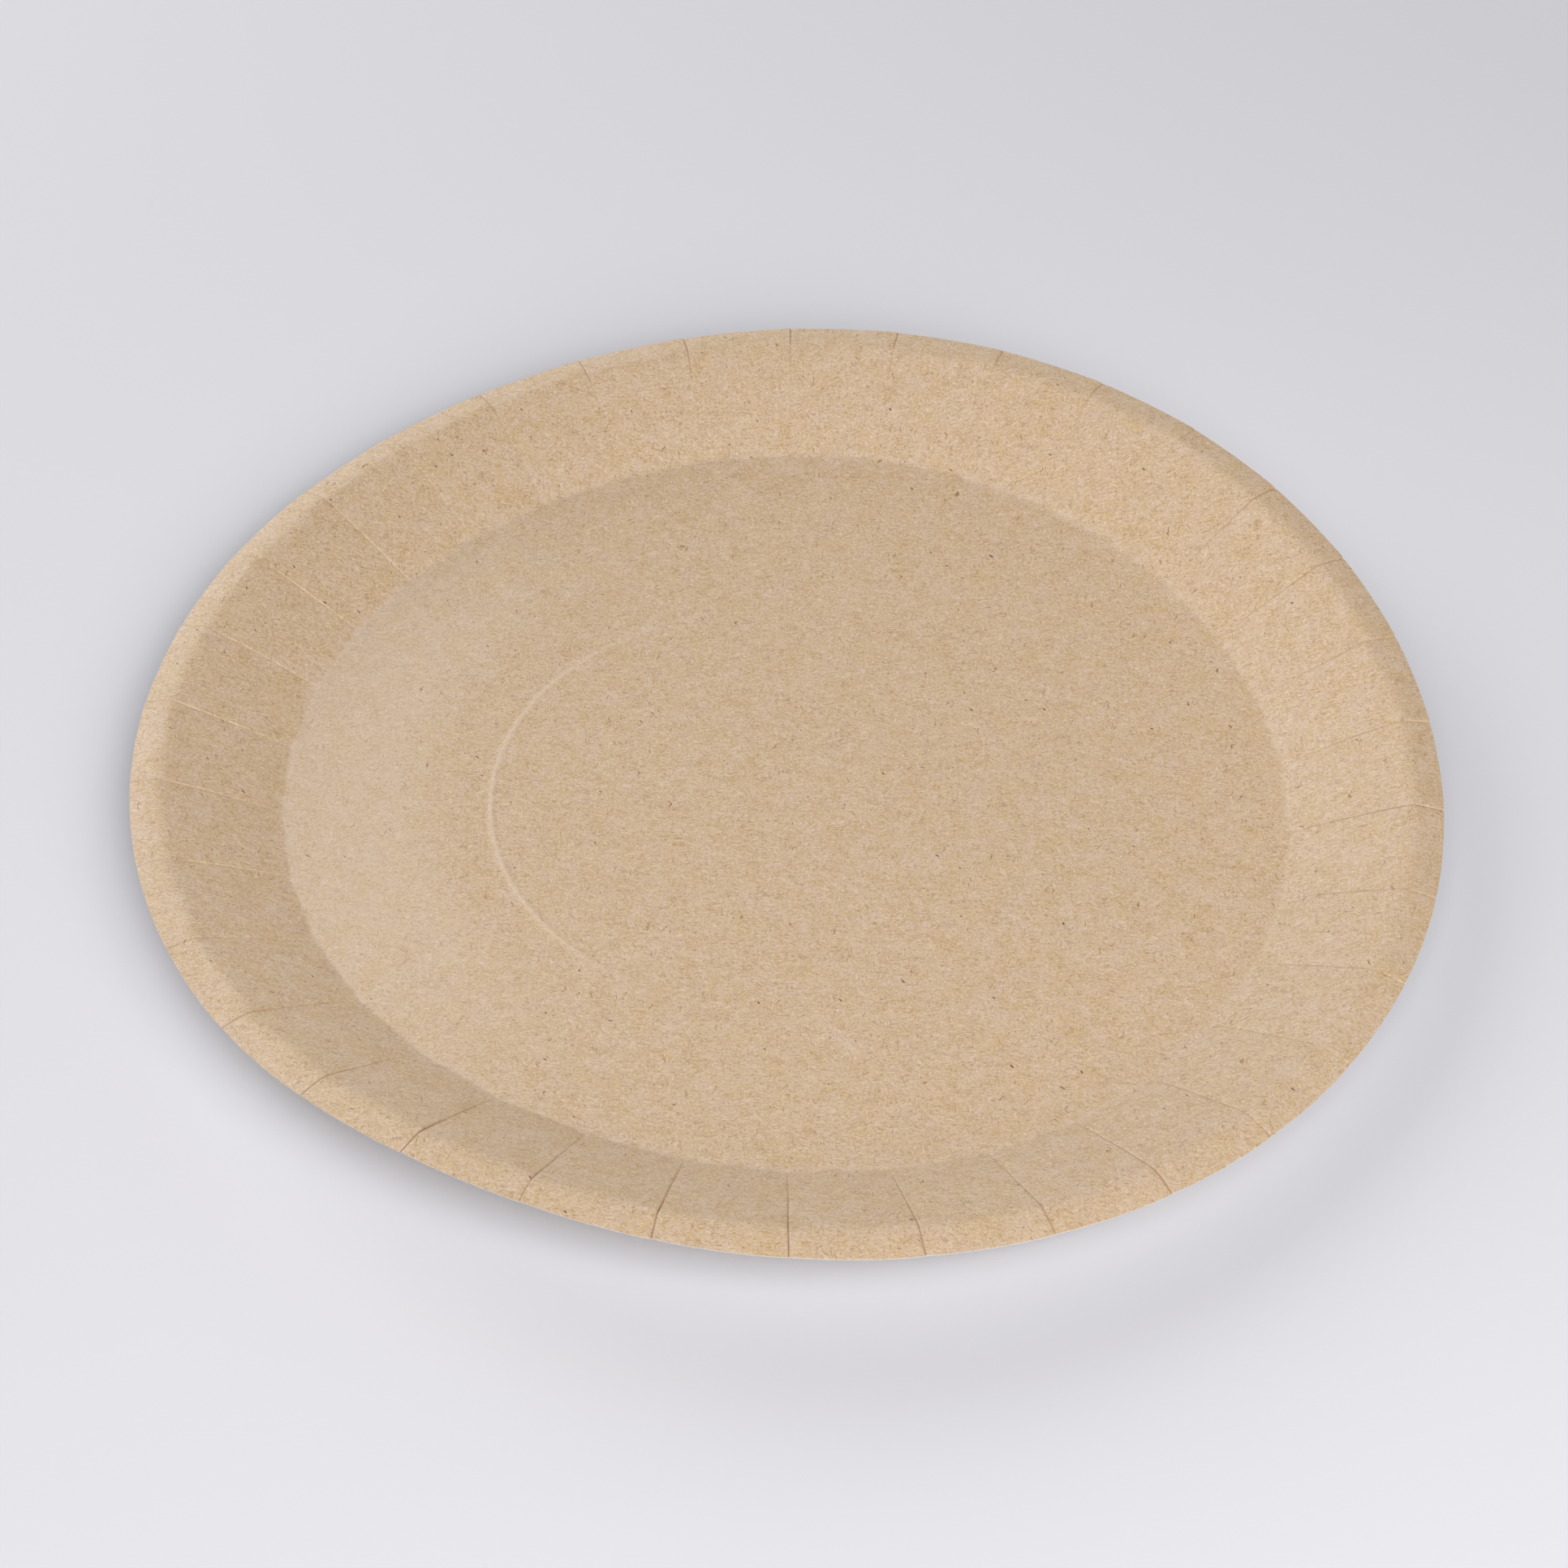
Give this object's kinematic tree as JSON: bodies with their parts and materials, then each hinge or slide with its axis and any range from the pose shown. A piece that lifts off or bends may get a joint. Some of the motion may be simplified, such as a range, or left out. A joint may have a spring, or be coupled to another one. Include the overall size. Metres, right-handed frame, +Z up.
{
  "type": "paper plate",
  "caption": "Round shallow plate pressed from one sheet of kraft board, with a flat base, a pleated sloping wall and a narrow down-turned rim, slightly curled.",
  "frame": {"origin": "middle of the underside, on the surface that the plate rests on", "axes": "+Z up, out of the plate's open side; +X along the line on which the curled plate rests, through one pleat"},
  "size_m": [0.23, 0.23, 0.0173],
  "materials": {
    "kraft_board": "matte"
  },
  "bodies": {
    "root": {"plate": "kraft_board"}
  },
  "joints": []
}
